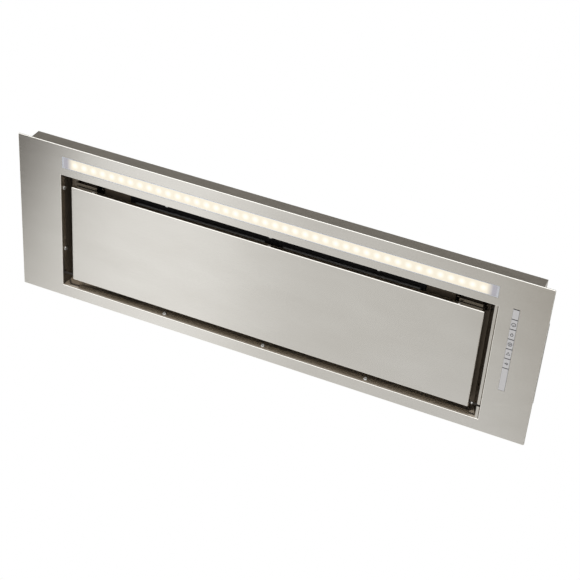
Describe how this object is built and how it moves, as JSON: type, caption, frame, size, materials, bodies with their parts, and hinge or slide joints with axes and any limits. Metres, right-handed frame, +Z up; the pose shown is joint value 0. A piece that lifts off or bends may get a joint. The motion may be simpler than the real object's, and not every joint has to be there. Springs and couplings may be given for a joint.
{
  "type": "undermount range hood",
  "caption": "Shallow stainless hood for fitting under a cabinet, with a perimeter-gap panel, slot lamp, push keys and a round duct outlet for an external fan.",
  "frame": {"origin": "centre of the faceplate's outline, in the plane of its upper face, which meets the cabinet's underside", "axes": "+X to the cook's right, towards the controls; +Y to the wall, away from the lamp; +Z up, out of the outlet"},
  "size_m": [0.892, 0.292, 0.142],
  "materials": {
    "brushed_face": "brushed along the length",
    "recess_steel": "dull rolled",
    "casing_steel": "plain galvanised sheet",
    "bright_steel": "bright",
    "rivet_metal": "satin",
    "filter_black": "semi-matt black",
    "filter_mesh": "dark coated",
    "latch_black": "fine grain",
    "seal_rubber": "closed foam",
    "lamp_aluminium": "satin anodised",
    "opal_cover": "opal",
    "lamp_board": "white solder mask",
    "light_chip": "clear over phosphor",
    "white_case": "fine grain",
    "black_plastic": "fine grain",
    "circuit_board": "solder mask",
    "key_cap": "satin gloss",
    "name_strip": "satin gloss, bare",
    "grey_plastic": "fine grain",
    "plunger_plastic": "smooth",
    "cable_sheath": "smooth sheath"
  },
  "bodies": {
    "hood": {"faceplate": "brushed_face", "recess_frame": "recess_steel", "catch_brackets": "recess_steel", "casing_shell": "casing_steel", "plenum_cover": "casing_steel", "mounting_bracket_left": "casing_steel", "mounting_bracket_right": "casing_steel", "outlet_collar": "casing_steel", "damper_pin": "bright_steel", "catch_springs": "bright_steel", "latch_spring": "bright_steel", "recess_screws": "bright_steel", "casing_screws": "bright_steel", "stud_nuts": "bright_steel", "body_rivets": "rivet_metal", "filter_frame": "filter_black", "filter_mesh_lower": "filter_mesh", "filter_mesh_upper": "filter_mesh", "filter_core": "filter_mesh", "filter_seal": "seal_rubber", "lamp_profile": "lamp_aluminium", "lamp_end_caps": "lamp_aluminium", "lamp_diffuser": "opal_cover", "lamp_board": "lamp_board", "lamp_chips": "light_chip", "lamp_driver": "white_case", "control_carrier": "black_plastic", "hinge_blocks": "black_plastic", "control_switches": "black_plastic", "control_board": "circuit_board", "control_blank_cap": "key_cap", "control_name_strip": "name_strip", "junction_box": "grey_plastic", "junction_lid": "grey_plastic", "gland_plate": "grey_plastic", "cable_glands": "grey_plastic", "terminal_block": "white_case", "lamp_cable": "cable_sheath", "control_cable": "cable_sheath", "driver_cable": "cable_sheath"},
    "panel": {"panel_tray": "brushed_face", "panel_stiffeners": "casing_steel", "hinge_arm_left": "casing_steel", "hinge_arm_right": "casing_steel", "hinge_pins": "bright_steel", "catch_blades": "casing_steel", "panel_rivets": "rivet_metal"},
    "latch": {"filter_latch": "latch_black"},
    "damper_front": {"damper_flap_front": "casing_steel"},
    "damper_rear": {"damper_flap_rear": "casing_steel"},
    "key_1": {"control_key_1": "key_cap", "switch_plunger_1": "plunger_plastic"},
    "key_2": {"control_key_2": "key_cap", "switch_plunger_2": "plunger_plastic"},
    "key_3": {"control_key_3": "key_cap", "switch_plunger_3": "plunger_plastic"},
    "key_4": {"control_key_4": "key_cap", "switch_plunger_4": "plunger_plastic"},
    "key_5": {"control_key_5": "key_cap", "switch_plunger_5": "plunger_plastic"}
  },
  "joints": [
    {"name": "panel_swing", "type": "hinge", "parent": "hood", "child": "panel", "pos_m": [0, 0.099, 0.002], "axis": [1, 0, 0], "range_deg": [0, 90]},
    {"name": "filter_latch_slide", "type": "slide", "parent": "hood", "child": "latch", "axis": [0, 1, 0], "range_m": [0, 0.006], "stiffness_N_per_m": 400, "springref_m": -0.004, "deforming": ["latch_spring"]},
    {"name": "damper_front_swing", "type": "hinge", "parent": "hood", "child": "damper_front", "pos_m": [0, 0.02, 0.1095], "axis": [-1, 0, 0], "range_deg": [0, 80]},
    {"name": "damper_rear_swing", "type": "hinge", "parent": "hood", "child": "damper_rear", "pos_m": [0, 0.02, 0.1095], "axis": [1, 0, 0], "range_deg": [0, 80]},
    {"name": "key_1_press", "type": "slide", "parent": "hood", "child": "key_1", "axis": [0, 0, 1], "range_m": [0, 0.0006], "stiffness_N_per_m": 1500, "springref_m": -0.0006},
    {"name": "key_2_press", "type": "slide", "parent": "hood", "child": "key_2", "axis": [0, 0, 1], "range_m": [0, 0.0006], "stiffness_N_per_m": 1500, "springref_m": -0.0006},
    {"name": "key_3_press", "type": "slide", "parent": "hood", "child": "key_3", "axis": [0, 0, 1], "range_m": [0, 0.0006], "stiffness_N_per_m": 1500, "springref_m": -0.0006},
    {"name": "key_4_press", "type": "slide", "parent": "hood", "child": "key_4", "axis": [0, 0, 1], "range_m": [0, 0.0006], "stiffness_N_per_m": 1500, "springref_m": -0.0006},
    {"name": "key_5_press", "type": "slide", "parent": "hood", "child": "key_5", "axis": [0, 0, 1], "range_m": [0, 0.0006], "stiffness_N_per_m": 1500, "springref_m": -0.0006}
  ]
}
